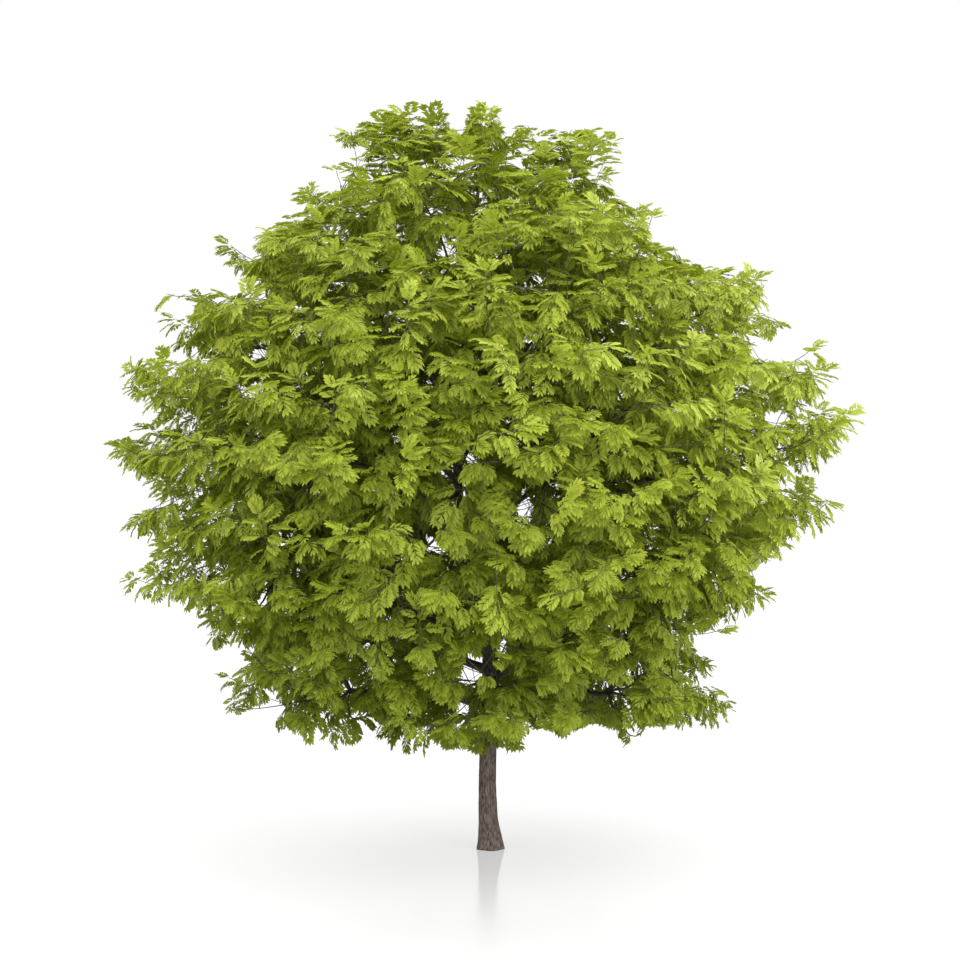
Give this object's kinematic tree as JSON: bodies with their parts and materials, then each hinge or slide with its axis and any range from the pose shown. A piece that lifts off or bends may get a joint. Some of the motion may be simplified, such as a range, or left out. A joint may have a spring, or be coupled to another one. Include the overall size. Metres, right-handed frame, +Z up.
{
  "type": "ash tree",
  "caption": "Young broadleaf tree, an ash, in full leaf: a straight bare trunk under a wide, dense, rounded crown of feather-shaped leaves.",
  "frame": {"origin": "centre of the flat cut under the trunk, at ground level", "axes": "+Z up along the trunk, -Y towards the viewer of the picture, +X to that viewer's right"},
  "size_m": [7.9041, 7.2627, 7.9097],
  "materials": {
    "bark": "rough",
    "foliage_low": "satin",
    "foliage_middle": "satin",
    "foliage_high": "satin"
  },
  "bodies": {
    "root": {"head_bough_1": "bark", "head_bough_2": "bark", "head_bough_3": "bark", "head_bough_4": "bark", "head_bough_5": "bark", "head_foliage_1": "foliage_high", "head_foliage_2": "foliage_high", "head_foliage_3": "foliage_high", "head_foliage_4": "foliage_high", "head_foliage_5": "foliage_high", "lower_bough_1": "bark", "lower_bough_2": "bark", "lower_bough_3": "bark", "lower_bough_4": "bark", "lower_bough_5": "bark", "lower_bough_6": "bark", "lower_foliage_1": "foliage_low", "lower_foliage_2": "foliage_low", "lower_foliage_3": "foliage_low", "lower_foliage_4": "foliage_low", "lower_foliage_5": "foliage_low", "lower_foliage_6": "foliage_low", "middle_bough_1": "bark", "middle_bough_2": "bark", "middle_bough_3": "bark", "middle_bough_4": "bark", "middle_bough_5": "bark", "middle_bough_6": "bark", "middle_foliage_1": "foliage_middle", "middle_foliage_2": "foliage_middle", "middle_foliage_3": "foliage_middle", "middle_foliage_4": "foliage_middle", "middle_foliage_5": "foliage_middle", "middle_foliage_6": "foliage_middle", "skirt_bough_1": "bark", "skirt_bough_2": "bark", "skirt_bough_3": "bark", "skirt_bough_4": "bark", "skirt_bough_5": "bark", "skirt_bough_6": "bark", "skirt_foliage_1": "foliage_low", "skirt_foliage_2": "foliage_low", "skirt_foliage_3": "foliage_low", "skirt_foliage_4": "foliage_low", "skirt_foliage_5": "foliage_low", "skirt_foliage_6": "foliage_low", "top_foliage": "foliage_high", "trunk": "bark", "upper_bough_1": "bark", "upper_bough_2": "bark", "upper_bough_3": "bark", "upper_bough_4": "bark", "upper_bough_5": "bark", "upper_bough_6": "bark", "upper_foliage_1": "foliage_high", "upper_foliage_2": "foliage_high", "upper_foliage_3": "foliage_high", "upper_foliage_4": "foliage_high", "upper_foliage_5": "foliage_high", "upper_foliage_6": "foliage_high"}
  },
  "joints": []
}
